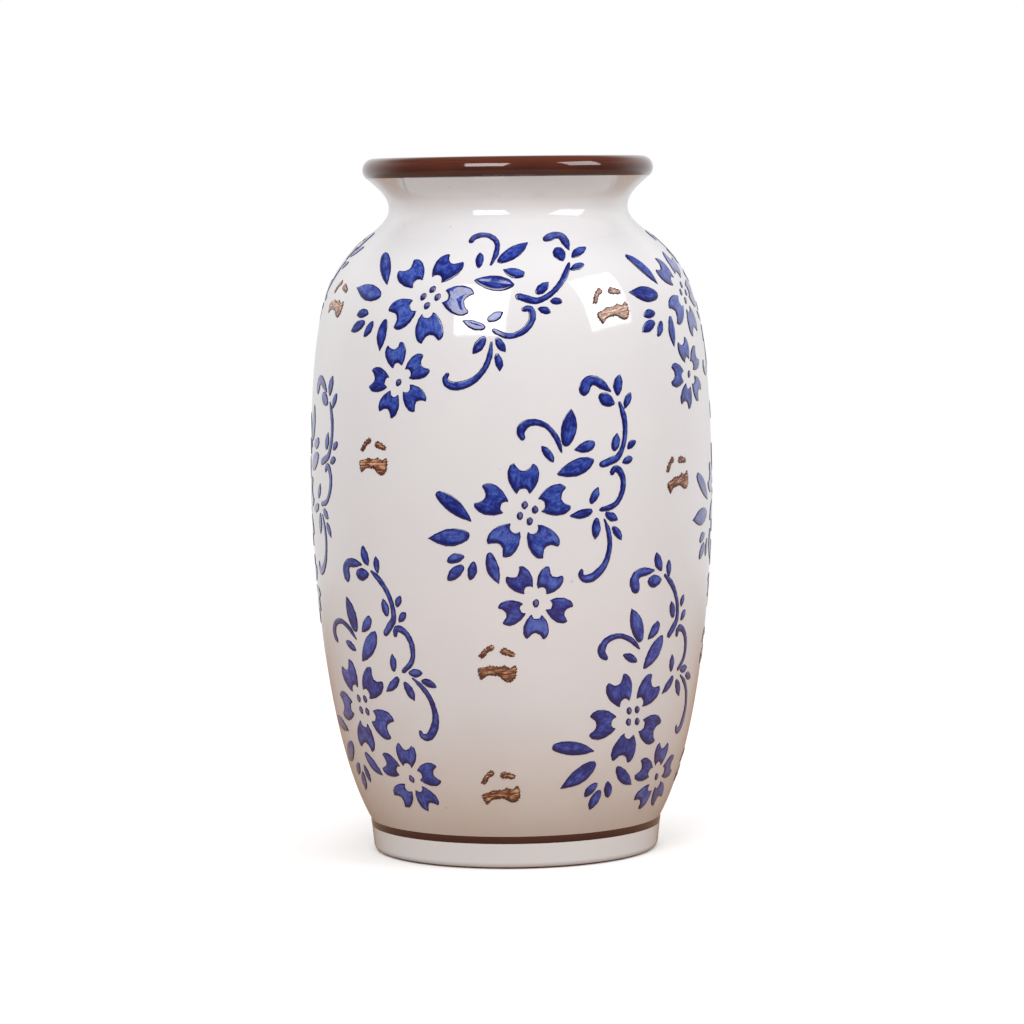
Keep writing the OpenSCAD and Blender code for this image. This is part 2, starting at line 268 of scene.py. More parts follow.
# %% Driving sizes from the frame
height = round(cad_box[1][2], 4)
belly_r = round(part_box("outer_glaze")[1][0], 4)
lip_outer_r = round(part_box("lip_glaze")[1][0], 4)
foot_r = 49.5 * MM  # At the top of the foot
foot_top = round(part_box("foot_line")[1][2], 4)
belly_h = 124 * MM
neck_h = 27.5 * MM
throat_drop = 17 * MM
collar_r, collar_h = 49.5 * MM, height - neck_h
throat_r, throat_h = 40.4 * MM, height - throat_drop
lip_r = 3.8 * MM
glaze_t = 0.4 * MM
wall_t = 4.6 * MM
floor_t = 7 * MM
foot_lean = 28.5  # Degrees from upright where the wall leaves the foot
collar_lean = -47.5  # Degrees from upright at the collar, leaning in
flare_more = 29.6  # How much more the flare leans at the lip than the line from throat to lip
lip_centre = np.array([lip_outer_r - lip_r, height - lip_r])
print("height", height, "belly radius", belly_r, "lip radius", lip_outer_r, "foot top", foot_top)


# %% The skin line
def lean(degrees):
    """A direction that leans out from upright by an angle."""
    return np.array([math.sin(math.radians(degrees)), math.cos(math.radians(degrees))])


def polar(degrees):
    """A direction by its angle from outwards, positive upwards."""
    return np.array([math.cos(math.radians(degrees)), math.sin(math.radians(degrees))])


def bezier(points, steps, first=1):
    """Points and outward normals along one Bezier curve, as rows of r, z, nr, nz."""
    rows = []
    a, b, c, d = [np.array(p, float) for p in points]
    for i in range(first, steps + 1):
        t = i / steps
        place = (1 - t) ** 3 * a + 3 * (1 - t) ** 2 * t * b + 3 * (1 - t) * t * t * c + t ** 3 * d
        way = (1 - t) ** 2 * (b - a) + 2 * (1 - t) * t * (c - b) + t * t * (d - c)
        way /= np.linalg.norm(way)
        rows.append([place[0], place[1], way[1], -way[0]])
    return rows


to_lip = lip_centre - np.array([throat_r, throat_h])
flare_lean = math.degrees(math.atan2(*to_lip)) + flare_more
lip_from = -flare_lean
foot_p = np.array([foot_r, foot_top])
belly_p = np.array([belly_r, belly_h])
collar_p = np.array([collar_r, collar_h])
throat_p = np.array([throat_r, throat_h])
flare_p = lip_centre + lip_r * polar(lip_from)
low_span = belly_h - foot_top
high_span = collar_h - belly_h
up = np.array([0, 1])
low_curve = [foot_p, foot_p + 0.32 * low_span * lean(foot_lean), belly_p - 0.093 * low_span * up, belly_p]
high_curve = [
    belly_p, belly_p + 0.766 * high_span * up, collar_p - 0.186 * high_span * lean(collar_lean), collar_p
]
neck_curve = [collar_p, collar_p + 4 * MM * lean(collar_lean), throat_p - 4.5 * MM * up, throat_p]
flare_curve = [throat_p, throat_p + 3.5 * MM * up, flare_p - 7 * MM * lean(flare_lean), flare_p]
skin = np.array(
    bezier(low_curve, 40, 0) + bezier(high_curve, 48) + bezier(neck_curve, 14) + bezier(flare_curve, 16)
)
run = np.concatenate([[0], np.cumsum(np.hypot(np.diff(skin[:, 0]), np.diff(skin[:, 1])))])
print("the skin line is", round(run[-1] / MM, 1), "mm long, with", len(skin), "points")


def skin_off(distance):
    """The skin line moved outwards, as a list of r, z pairs."""
    return [(r + distance * nr, z + distance * nz) for r, z, nr, nz in skin]


# %% [markdown]
# ## Turning a piece
# Everything round is made as on a wheel: the section is drawn once as a loop of points beside
# the axis, and spin carries it round. A ring's section is closed. A section that ends on the
# axis, such as the floor's, is left open there, and the poles close when the points merge.

# %% The lathe
ROUND = 256


def lathe(name, section, on_axis=False, steps=ROUND):
    """Spins a section of r, z points into a closed solid of revolution."""
    only()
    bpy.ops.mesh.primitive_circle_add(vertices=len(section), radius=0.01)
    piece = bpy.context.object
    piece.name = name
    piece.data.name = name
    for point, (r, z) in zip(piece.data.vertices, section):
        point.co = (r, 0, z)
    if on_axis:
        ends = {0, len(section) - 1}
        for edge in piece.data.edges:
            edge.select = set(edge.vertices) == ends
        for point in piece.data.vertices:
            point.select = point.index in ends
        bpy.ops.object.mode_set(mode="EDIT")
        bpy.ops.mesh.delete(type="EDGE_FACE")
    else:
        bpy.ops.object.mode_set(mode="EDIT")
    bpy.ops.mesh.select_all(action="SELECT")
    bpy.ops.mesh.spin(steps=steps, angle=2 * math.pi, center=(0, 0, 0), axis=(0, 0, 1))
    bpy.ops.mesh.select_all(action="SELECT")
    bpy.ops.mesh.remove_doubles(threshold=0.00001)
    bpy.ops.mesh.normals_make_consistent(inside=False)
    bpy.ops.object.mode_set(mode="OBJECT")
    return piece


def arc(centre, radius, start, end, steps):
    """Points on a circle, by angles in degrees."""
    turns = np.radians(np.linspace(start, end, steps))
    return [(centre[0] + radius * math.cos(a), centre[1] + radius * math.sin(a)) for a in turns]


# %% [markdown]
# ## The cream glaze outside
# The glaze is a skin under half a millimetre thick. It is modelled as a real skin, with its
# outer face on the body's line and its inner face on the clay.

# %% Outer glaze
outer_glaze = lathe("glaze_outside", skin_off(0) + skin_off(-glaze_t)[::-1])
smooth_shade(outer_glaze, 60)
say(outer_glaze)

# %% [markdown]
# ## The cream glaze inside
# Inside, the same glaze runs down the wall, round the well and over the floor. A thrown pot
# has a soft corner there, where the potter's fingers turned from floor to wall.

# %% Inner glaze
clay_in = -glaze_t - wall_t
floor_top = skin_off(clay_in)[0][1]
well_r = 7 * MM
inside = [p for p in skin_off(clay_in - glaze_t) if p[1] > floor_top + well_r]
inside = [p for p in inside if math.dist(p, lip_centre) > lip_r]
well_from = inside[0]
well_centre = (well_from[0] - well_r, floor_top + glaze_t + well_r)
well = arc(well_centre, well_r, -90, -12, 8)
clay_face = [p for p in skin_off(clay_in) if math.dist(p, lip_centre) > lip_r]
inner_section = (
    [(0, floor_top + glaze_t), (30 * MM, floor_top + glaze_t)] + well + inside
    + clay_face[::-1] + [(clay_face[0][0] - MM, floor_top), (0, floor_top)]
)
inner_glaze = lathe("glaze_inside", inner_section, on_axis=True, steps=192)
smooth_shade(inner_glaze, 60)
say(inner_glaze)

# %% [markdown]
# ## The brown lip
# The rim is rolled, then dipped in an iron glaze. It ends in a soft bead on the neck's flare,
# because glaze draws back a little as it melts.

# %% Lip glaze
bead = 0.12 * MM
lip_coat = 0.05 * MM  # How far the glaze stands over the round of the lip
inner_end = 172
lip_outside = arc(lip_centre, lip_r + lip_coat, lip_from + 8, inner_end, 44)
lip_under = arc(lip_centre, lip_r - glaze_t, inner_end, lip_from, 30)
edge_p = lip_centre + (lip_r + bead) * polar(lip_from + 3)
lip_glaze = lathe("glaze_lip", [tuple(flare_p), tuple(edge_p)] + lip_outside + lip_under)
smooth_shade(lip_glaze, 60)
say(lip_glaze)

# %% [markdown]
# ## The foot
# The foot is turned from leather-hard clay. Its side is glazed down to a hair above the shelf,
# its standing face stays bare clay, and a dark line is banded round its top on the wheel.

# %% Foot line, foot glaze, foot ring and floor
line_h = 2.5 * MM
foot_round = 2.5 * MM
foot_taper = 0.9 * MM
foot_w = 6.5 * MM
side_r = foot_r - foot_taper - glaze_t
round_centre = (side_r - foot_round, foot_round)
bare_h = 0.7 * MM
recess_h = floor_top - floor_t


def foot_side(z, proud):
    """Radius of the foot's side at a height, between its round edge and its top."""
    share = (z - foot_round) / (foot_top - foot_round)
    return side_r + proud + foot_taper * max(0, share)


line_low = foot_top - line_h
swell = 0.06 * MM
line_heights = np.linspace(line_low, foot_top, 9)
line_outer = [
    (foot_side(z, glaze_t) + swell * math.sin(math.pi * i / 8), z) for i, z in enumerate(line_heights)
]
line_inner = [(foot_side(z, 0), z) for z in (foot_top, line_low)]
foot_line = lathe("foot_line_glaze", line_outer + line_inner)
smooth_shade(foot_line, 50)
say(foot_line)

bare_angle = math.degrees(math.asin((foot_round - bare_h) / (foot_round + glaze_t)))
side_heights = np.linspace(foot_round, line_low, 7)
glaze_side = arc(round_centre, foot_round + glaze_t, -bare_angle, 0, 8)
glaze_side += [(foot_side(z, glaze_t), z) for z in side_heights[1:]]
clay_side = [(foot_side(z, 0), z) for z in side_heights[::-1]]
clay_side += arc(round_centre, foot_round, 0, -bare_angle, 8)[1:]
foot_glaze = lathe("glaze_foot", glaze_side + clay_side)
smooth_shade(foot_glaze, 50)
say(foot_glaze)

ring_inner_r = side_r - foot_round - foot_w
soft = 0.8 * MM
ring_section = (
    [(ring_inner_r, recess_h), (ring_inner_r, soft + 0.2 * MM), (ring_inner_r + 0.3 * MM, 0.3 * MM),
     (ring_inner_r + soft, 0)]
    + arc(round_centre, foot_round, -90, 0, 10)
    + [(foot_side(z, 0), z) for z in side_heights[1:]]
    + [(foot_side(foot_top, 0), foot_top), skin_off(-glaze_t)[0], skin_off(clay_in)[0],
       (skin_off(clay_in)[0][0], recess_h)]
)
foot_ring = lathe("clay_foot_ring", ring_section)
smooth_shade(foot_ring, 35)
say(foot_ring)

floor_clay_r = skin_off(clay_in)[0][0]
groove = 0.12 * MM  # Depth of the rings that the turning tool leaves
turning = [(r * MM, recess_h + groove * math.sin(r * 1.9)) for r in np.arange(1.5, 38, 1.1)]
floor_section = [(0, recess_h)] + turning + [
    (ring_inner_r, recess_h), (floor_clay_r, recess_h), (floor_clay_r, floor_top), (0, floor_top)
]
clay_floor = lathe("clay_floor_disc", floor_section, on_axis=True, steps=128)
smooth_shade(clay_floor, 35)
say(clay_floor)

# %% [markdown]
# ## Painting: the brush patches
# The painter fills each petal, leaf and dot with one loaded touch of the brush, so every patch
# is a shallow puddle of enamel with its own outline. They could be a picture on the glaze, but
# then no edge would catch the light. The patches are modelled flat instead, in millimetres
# round the big flower's middle: a round primitive gets rings inside it by inset, and its rings
# are then drawn out between the patch's outline and a spine along its middle.

# %% Lines and outlines
def smooth_line(points, steps):
    """A smooth line through points, as a Catmull-Rom spline."""
    points = np.asarray(points, float)
    line = []
    last = len(points) - 1
    for i in range(last):
        a, b, c, d = points[max(i - 1, 0)], points[i], points[i + 1], points[min(i + 2, last)]
        for k in range(steps):
            t = k / steps
            bow = (2 * a - 5 * b + 4 * c - d) * t * t + (3 * b - a - 3 * c + d) * t ** 3
            line.append(0.5 * (2 * b + (c - a) * t + bow))
    line.append(points[-1])
    return np.array(line)


def turned(points, degrees):
    """Flat points turned counter-clockwise."""
    a = math.radians(degrees)
    return points @ np.array([[math.cos(a), math.sin(a)], [-math.sin(a), math.cos(a)]])


def edge_reach(points, outline):
    """Distance from each flat point to the outline, and the direction to it."""
    side = np.roll(outline, -1, axis=0) - outline
    length2 = np.maximum((side ** 2).sum(1), 1e-12)
    rel = points[:, None, :] - outline[None]
    t = np.clip((rel * side[None]).sum(2) / length2[None], 0, 1)
    gap = rel - t[..., None] * side[None]
    distance = np.sqrt((gap ** 2).sum(2))
    k = distance.argmin(1)
    rows = np.arange(len(points))
    way = -gap[rows, k]
    return distance[rows, k], way / np.maximum(np.linalg.norm(way, axis=1), 1e-6)[:, None]


# %% A flat patch from an outline
RING_STEPS = [0.03, 0.04, 0.07, 0.12, 0.2, 0.24]


def corners(piece):
    """A mesh's points as an array."""
    flat = np.empty(3 * len(piece.data.vertices), np.float32)
    piece.data.vertices.foreach_get("co", flat)
    return flat.reshape(-1, 3).astype(float)


def keep_patch(kept, points, outline, brush, tone=0.0):
    """Keeps the active object's mesh as a patch: flat points, reach to the edge, brush lie."""
    piece = bpy.context.object
    reach, way = edge_reach(points, outline)
    kept.append(dict(mesh=piece.data, points=points, reach=reach, way=way, brush=brush, tone=tone))
    bpy.data.objects.remove(piece)


def fill_patch(kept, outline, spine, brush_turn=0.0, tone=0.0):
    """Makes a patch: a disc with rings, drawn out between its outline and its spine."""
    count = len(outline)
    only()
    bpy.ops.mesh.primitive_circle_add(vertices=count, radius=1, fill_type="NGON")
    bpy.ops.object.mode_set(mode="EDIT")
    bpy.ops.mesh.select_all(action="SELECT")
    for step in RING_STEPS:
        bpy.ops.mesh.inset(thickness=step)
    bpy.ops.mesh.poke()
    bpy.ops.object.mode_set(mode="OBJECT")
    disc = corners(bpy.context.object)[:, :2]
    turn = np.arctan2(disc[:, 1], disc[:, 0]) - math.atan2(disc[0, 1], disc[0, 0])
    k = np.round(turn / (2 * math.pi) * count).astype(int) % count
    depth = np.clip(np.hypot(disc[:, 0], disc[:, 1]), 0, 1)
    points = spine[k] + (outline[k] - spine[k]) * depth[:, None]
    points[depth < 0.01] = spine.mean(0)
    lie = turned(points - outline.mean(0), -brush_turn)
    keep_patch(kept, points, outline, lie, tone)


# %% [markdown]
# A petal bulges at its sides and has a notch at each end, like a butterfly seen from above.
# Its outline is drawn once, for one half, and mirrored.

# %% Petals
PETAL_HALF = [
    (-3.2, 0), (-3.4, 0.9), (-4.1, 1.6), (-4.8, 1.9), (-4.7, 2.4), (-3.4, 3.5), (-1.4, 4.6), (1, 5.2),
    (3.1, 5), (4.4, 4.3), (5, 3.5), (4.9, 2.9), (4.2, 2.4), (3.1, 1.3), (2.6, 0),
]
petal_half = smooth_line(PETAL_HALF, 3)
petal_rim = np.concatenate([petal_half, petal_half[::-1][1:-1] * (1, -1)])[::-1]
petal_spine = np.clip(petal_rim, (-2, -2.6), (1, 2.6)) * (1, 0.8)

big_petals = [
    ((-0.9, 10.9), 87), ((9.1, 3.6), 14.5), ((4.9, -9.2), -53.5), ((-7, -8.6), -130), ((-11.2, 4), 154.5)
]
small_heart = np.array([2.9, -30])
small_petals = [
    ((-5, 7.4), 128), ((4.1, 7.1), 52), ((7.4, -2.2), -24), ((-0.1, -7.7), -94), ((-7.8, -2.6), -167)
]
small_size = 0.82
sprig_patches = []
flowers = [(centre, angle, 1) for centre, angle in big_petals]
flowers += [(small_heart + centre, angle, small_size) for centre, angle in small_petals]
for centre, angle, size in flowers:
    rim, spine = turned(petal_rim * size, angle), turned(petal_spine * size, angle)
    fill_patch(sprig_patches, centre + rim, centre + spine, angle)
print(len(sprig_patches), "petals with", len(petal_rim), "points each")


# %% [markdown]
# A leaf is one press of the brush: it lands blunt and lifts off to a point. So each leaf has
# two ends, a width, the place where it is widest, and a bluntness for each end.

# %% Leaves and dots
def leaf(start, end, width, full=0.5, blunt=(0.6, 0.6), bend=0.04, tone=0.0, count=44):
    """A leaf between two points; bluntness near 0.5 is round and near 1 is pointed."""
    start, end = np.array(start, float), np.array(end, float)
    way = end - start
    length = np.linalg.norm(way)
    across = np.array([-way[1], way[0]]) / length
    power = math.log(0.5) / math.log(full)
    t = (1 - np.cos(np.linspace(0, math.pi, count // 2 + 1))) / 2
    edge = blunt[0] + (blunt[1] - blunt[0]) * t
    half = width / 2 * np.sin(np.pi * t ** power).clip(0) ** edge
    middle = start + way * t[:, None] + across * (bend * length * 4 * t * (1 - t))[:, None]
    right, left = middle - across * half[:, None], middle + across * half[:, None]
    outline = np.concatenate([right, left[::-1][1:-1]])
    inner = np.clip(t, 0.2, 0.8)
    line = start + way * inner[:, None] + across * (bend * length * 4 * inner * (1 - inner))[:, None]
    spine = np.concatenate([line, line[::-1][1:-1]])
    fill_patch(sprig_patches, outline, spine, math.degrees(math.atan2(way[1], way[0])), tone)


ROUND_END, SOFT_END, POINT_END = 0.45, 0.6, 0.85
PRESS = (ROUND_END, POINT_END)  # Lands at its start and lifts off at its end
LIFT = (POINT_END, ROUND_END)
OVAL = (SOFT_END, SOFT_END)
SPINDLE = (0.75, 0.7)
leaves = [
    ((-30.2, 6.4), (-18, -2.7), 4.9, 0.44, PRESS), ((-33.5, -8.9), (-18.9, -6.9), 5.9, 0.57, LIFT),
    ((-26.7, -16.4), (-20.8, -14.2), 3.3, 0.48, OVAL), ((-26.6, -22.5), (-20.8, -17.4), 3.9, 0.5, LIFT),
    ((-18.9, -22.1), (-17.3, -15.9), 3.2, 0.5, OVAL), ((-9, -23.5), (-12.4, -13), 4.2, 0.52, LIFT),
    ((5.1, 21.8), (9.1, 16.3), 2.8, 0.5, OVAL), ((13.4, 21.3), (15.4, 33.7), 5.4, 0.48, PRESS),
    ((23.4, 22.2), (16.1, 20.1), 3.8, 0.42, PRESS), ((23, 17.1), (10.3, 12.1), 5.6, 0.45, SPINDLE),
    ((25.1, 37.7), (31, 34.5), 4.4, 0.45, OVAL), ((32.2, 37.2), (33.4, 44.2), 3.7, 0.5, OVAL),
    ((34.7, 32.8), (37.4, 38.1), 2.8, 0.55, OVAL), ((30.3, 19), (31.8, 25), 3.3, 0.48, PRESS),
    ((35.8, 19.4), (39.3, 22), 2.6, 0.5, OVAL), ((33.5, 14.9), (37.9, 16.4), 2.7, 0.55, OVAL),
    ((21.7, 2.3), (24.7, 7.7), 3, 0.5, PRESS), ((22.3, -0.1), (14.2, -1.7), 3.1, 0.44, PRESS),
    ((23.5, -2.5), (22.9, -9.8), 3.3, 0.5, PRESS), ((27, -1.1), (31.8, -3.9), 3, 0.5, PRESS),
    ((29.6, -5.5), (33.1, -10.4), 2.8, 0.48, PRESS),
]
bends = (0.02, -0.02, 0.04)
for k, (start, end, width, full, blunt) in enumerate(leaves):
    leaf(start, end, width, full, blunt, bend=bends[k % 3])
dots = [(-0.7, 2.7), (2.6, 1), (-2.4, -0.9), (0.7, -3), tuple(small_heart)]
THIN_TOUCH = 3.0  # Past 2.5, the enamel is a thin one
for x, y in dots:
    leaf((x - 0.2, y - 1.4), (x + 0.2, y + 1.4), 2.2, 0.5, (0.5, 0.5), bend=0, tone=THIN_TOUCH, count=32)
print(len(sprig_patches), "patches with the leaves and dots")


# %% [markdown]
# A tendril is one long stroke. The brush is pressed more or less as it goes, so a stroke has a
# smooth line and a row of widths, and both its ends are round.

# %% Tendrils
def stroke(points, widths):
    """A brush stroke: a square grid laid along a smooth line."""
    line = smooth_line(points, 10)
    steps = np.concatenate([[0], np.cumsum(np.linalg.norm(np.diff(line, axis=0), axis=1))])
    length = steps[-1]
    ways = np.gradient(line, steps, axis=0)
    ways /= np.linalg.norm(ways, axis=1)[:, None]
    width_at = smooth_line([(w, 0) for w in widths], 8)[:, 0]

    def half_width(s):
        w = np.interp(s / length, np.linspace(0, 1, len(width_at)), width_at)
        start_cap = np.clip(s / (0.9 * widths[0]), 0, 1)
        end_cap = np.clip((length - s) / (0.6 * widths[-1]), 0, 1)
        return w / 2 * np.sqrt(start_cap * (2 - start_cap) * end_cap * (2 - end_cap))

    def laid(s, side):
        x, y = [np.interp(s, steps, line[:, i]) for i in (0, 1)]
        wx, wy = [np.interp(s, steps, ways[:, i]) for i in (0, 1)]
        return np.stack([x - wy * side, y + wx * side], 1)

    only()
    bpy.ops.mesh.primitive_grid_add(x_subdivisions=46, y_subdivisions=10, size=2)
    grid = corners(bpy.context.object)[:, :2]
    s = (1 - np.cos(np.pi * (grid[:, 0] + 1) / 2)) / 2 * length
    side = np.sin(grid[:, 1] * np.pi / 2) * half_width(s)
    along = np.linspace(0, length, 120)
    right, left = laid(along, -half_width(along)), laid(along[::-1], half_width(along[::-1]))
    outline = np.concatenate([right, left[1:-1]])
    keep_patch(sprig_patches, laid(s, side), outline, np.stack([s, side], 1))


stroke([(11.9, 19.3), (10.2, 24.1), (7, 28.1), (2.8, 29.5), (-0.4, 28.5), (-1.6, 26.3), (-0.7, 23.6)],
       (0.8, 1.9, 1.8, 2, 2.4, 3.1, 1.7))
stroke([(29.8, 38.9), (24, 42.3), (21, 41.7), (20, 39.4), (19.7, 37.2)], (0.8, 2.9, 3.2, 4.1, 3.4))
stroke([(32.7, 35.3), (34.6, 30.1), (35, 25.2), (34.1, 20.6), (32, 17), (29, 15.7), (25.1, 14.5)],
       (1.1, 2.2, 2, 1.9, 2.1, 2.7, 2.3))
stroke([(24.6, 0.4), (30.4, 1.6), (33.5, 5.7), (34, 10.1), (32.5, 13), (30.8, 13.3), (29.4, 11.5)],
       (1.6, 2, 1.9, 2.1, 2.2, 2.5, 1.7))
stroke([(26.3, -2.8), (28, -7.5), (28.3, -12.7), (26.5, -18), (23, -21.5), (19.8, -22.5), (18, -21.2),
        (18.4, -19.1)],
       (0.7, 1.8, 1.9, 2, 2.5, 3, 2.7, 1.3))
print(len(sprig_patches), "patches in a sprig")

# %% [markdown]
# ## Painting: the brown marks
# Between the sprigs the painter sets small marks: two short chips over a wide waisted one, like
# twigs. They are made in the same way, with ragged outlines.

# %% Chips of the brown mark
chips = [
    [(-5.8, 4.7), (-4.5, 6.6), (-3.2, 7.8), (-1.5, 8.8), (-0.6, 7.9), (-1, 6.9), (-2.5, 6.3), (-3.4, 5),
     (-4.6, 4)],
    [(1.1, 6.5), (1.9, 7.5), (2.9, 7.7), (4.7, 6.8), (6.1, 5.8), (5.4, 4.6), (3.2, 5.1), (1.5, 5.6)],
    [(-6.3, 0.6), (-5.4, 1.1), (-3.4, 1.4), (-2, 1.9), (-0.2, 1.6), (1.4, 1.6), (2.4, 2.1), (3.2, 1.6),
     (4.5, 1.2), (5.9, 2), (6.5, 0.9), (6.4, -0.8), (6, -2.4), (4.8, -3.6), (3.5, -3.8), (2.2, -3.2),
     (0.6, -1.8), (-1, -1.6), (-3.2, -1.7), (-5.1, -3), (-5.7, -2.4), (-6.2, -1)],
]
NICK = 0.2


def ragged(outline, depth):
    """An outline with small nicks along it."""
    along = np.arange(len(outline))
    nick = np.sin(along * 1.9) + 0.7 * np.sin(along * 3.1 + 1)
    outward = outline - outline.mean(0)
    outward /= np.linalg.norm(outward, axis=1)[:, None]
    return outline + outward * (depth * nick)[:, None]


mark_patches = []
for rim in chips:
    outline = ragged(smooth_line(rim + rim[:1], 5)[:-1], NICK)[::-1]
    middle = outline.mean(0)
    axis = np.linalg.svd(outline - middle)[2][0]
    along = (outline - middle) @ axis
    reach = 0.6 * np.abs(along).max()
    fill_patch(mark_patches, outline, middle + np.clip(along * 0.85, -reach, reach)[:, None] * axis)
print(len(mark_patches), "chips in a mark")

# %% [markdown]
# ## Laying the painting on the body
# A flat design laid on a round body bends with it, as on the cone that touches the body there:
# on the shoulder both its sides hang, and near the foot they rise. After that bend, a point's
# way up is walked along the skin line, its way sideways round the circle at that height, and
# its thickness outwards. No two brush marks are alike, so patches shift and turn a hair, and
# their edges wander.

# %% Wrapping
ENAMEL_T = 0.22  # Millimetres over the glaze
SUNK = 0.12  # Millimetres into it
EDGE_ROUND = 0.5
DIP, DIP_WIDTH = 0.07, 1.6
DRIFT = 0.05
SHIFT, TILT = 0.1, 1.5  # How far each patch strays, in millimetres and degrees
# Side where the dark rims widen: the rims are pooled enamel, and their widening on the lower left of every
# patch is painted shade
POOL_AND_SHADE_WAY = turned(np.array([1.0, 0.0]), -120)


def puddle(reach):
    """Height of a patch over the glaze: a steep soft edge, a raised rim and a shallow middle."""
    edge = np.clip(reach / EDGE_ROUND, 0, 1)
    dip = np.clip((reach - EDGE_ROUND) / DIP_WIDTH, 0, 1)
    return ENAMEL_T * np.sqrt(edge * (2 - edge)) - DIP * dip * dip * (3 - 2 * dip)


def on_skin(flat, azimuth, level, lift):
    """Points in metres for flat points and lifts in mm, laid round an anchor on the body."""
    run0 = np.interp(level * MM, skin[:, 1], run)
    narrowing = np.interp(run0, run, skin[:, 3]) / np.interp(run0, run, skin[:, 0]) * MM
    sideways, upwards = narrowing * flat[:, 0], 1 - narrowing * flat[:, 1]
    far = np.hypot(sideways, upwards)
    round_way = np.arctan2(sideways, upwards) * far / narrowing
    s = np.clip(run0 + (1 - far) / narrowing * MM, 0, run[-1])
    r, z, nr, nz = [np.interp(s, run, skin[:, i]) for i in range(4)]
    turn = math.radians(azimuth) + round_way * MM / r
    out = r + lift * MM * nr
    return np.stack([out * np.sin(turn), -out * np.cos(turn), z + lift * MM * nz], 1)


def wander(points, phase):
    """A slow sideways drift of edges, in mm."""
    x, y = points[:, 0], points[:, 1]
    dx = np.sin(1.7 * x + 2.3 * y + phase) + 0.6 * np.sin(3.9 * x - 3.1 * y + 2.2 * phase)
    dy = np.sin(2.1 * x - 1.9 * y + 1.7 * phase) + 0.6 * np.sin(3.3 * x + 4.3 * y + 0.6 * phase)
    return np.stack([dx, dy], 1) * DRIFT


def lay(name, patch, place, rng):
    """One patch laid on the body, with its pooled rim widened by painted shade, its tone and brush lie
    stored for the enamel.
    """
    azimuth, level, turn, size = place
    middle = patch["points"].mean(0)
    shift = rng.normal(0, SHIFT, 2)
    tilt = rng.normal(0, TILT)
    flat = middle + shift + turned(patch["points"] - middle, tilt)
    flat = turned(size * (flat + wander(flat, rng.uniform(0, 6))), turn)
    reach = patch["reach"] * size
    facing = np.clip(turned(patch["way"], turn) @ POOL_AND_SHADE_WAY, -0.35, 1)
    mesh = patch["mesh"].copy()
    points = on_skin(flat, azimuth, level, puddle(reach))
    mesh.vertices.foreach_set("co", points.astype(np.float32).ravel())
    tone = rng.uniform(0, 1) + patch["tone"]
    # The stored pool value makes the dark rim wider on the lower left: pooled enamel with painted shade
    for label, values in (("pool_and_shade", reach / (1 + 1.3 * facing)), ("tone", np.full(len(flat), tone))):
        mesh.attributes.new(label, "FLOAT", "POINT").data.foreach_set("value", values.astype(np.float32))
    ends = np.empty(len(mesh.loops), np.int32)
    mesh.loops.foreach_get("vertex_index", ends)
    lie = patch["brush"][ends] * size + rng.uniform(0, 400, 2)
    mesh.uv_layers.new(name="brush").data.foreach_set("uv", lie.astype(np.float32).ravel())
    piece = bpy.data.objects.new(name, mesh)
    bpy.context.collection.objects.link(piece)
    return piece


def paint(name, patches, places):
    """Lays a set of patches at one or more places, joined as one piece of closed solids."""
    rng = np.random.default_rng(sum(ord(c) for c in name))
    only(*[lay(name, patch, place, rng) for place in places for patch in patches])
    bpy.ops.object.join()
    painted = bpy.context.object
    painted.name = painted.data.name = name
    bpy.ops.object.mode_set(mode="EDIT")
    bpy.ops.mesh.select_all(action="SELECT")
    bpy.ops.mesh.remove_doubles(threshold=0.002 * MM)
    bpy.ops.object.mode_set(mode="OBJECT")
    underside = painted.modifiers.new("underside", "SOLIDIFY")
    underside.thickness = SUNK * MM
    underside.offset = -1
    bpy.ops.object.modifier_apply(modifier=underside.name)
    bpy.ops.object.shade_smooth_by_angle(angle=math.radians(60))
    return painted


# %% Three rows of sprigs
# Each sprig's azimuth from the front, height over its row, turn and size, as in the frame
sprig_rows = {
    "top": (189.5, [
        (-24.6, 0, -25, 0.98), (69.7, -0.3, -22, 0.95), (160, 0.4, -24, 0.97), (238, 0, -24, 0.97),
    ]),
    "middle": (120, [
        (4, -0.2, 0, 0.99), (90.2, 2.2, 0, 0.99), (180, -1, 1.5, 1), (269.5, -0.5, 0, 0.99),
    ]),
    "bottom": (52.5, [
        (-53.9, 1.5, 28.5, 0.99), (39.2, -1.9, 30.5, 0.99), (128, 0.5, 29, 1), (216, -0.5, 28, 0.98),
    ]),
}
sprigs = {}
for row, (level, places) in sprig_rows.items():
    for k, (azimuth, over, turn, size) in enumerate(places, 1):
        name = f"{row}_sprig_{k}"
        sprigs[name] = paint("painted_" + name, sprig_patches, [(azimuth, level + over, turn, size)])
say(sprigs["middle_sprig_1"])

# %% Rows of marks
# Each mark's azimuth from the front, height and turn, as in the frame
mark_rows = {
    "top_marks": [(-67, 186.5, -3), (32, 184, 16), (117, 185, 8), (205, 186, 3)],
    "middle_marks": [(-42, 135, 0), (54, 127.5, 12), (141, 130, 5), (228, 132, -4)],
    "lower_marks": [(-5, 68, 0), (85, 67, 6), (174, 69, 9), (264, 67.5, -2)],
    "foot_marks": [(-5, 26.3, 10), (85, 26, 4), (174, 27, 0), (264, 26.5, 7)],
}
marks = {
    name: paint("painted_" + name, mark_patches, [(*place, 1) for place in places])
    for name, places in mark_rows.items()
}
say(marks["lower_marks"])

# %% [markdown]
# ## Shared effects
# Three node groups are built once and placed in the materials, each time with other values:
# the slow ripple and fine orange peel of melted glaze, the specks that the kiln leaves, and the
# way brushed colour pools at its edges.

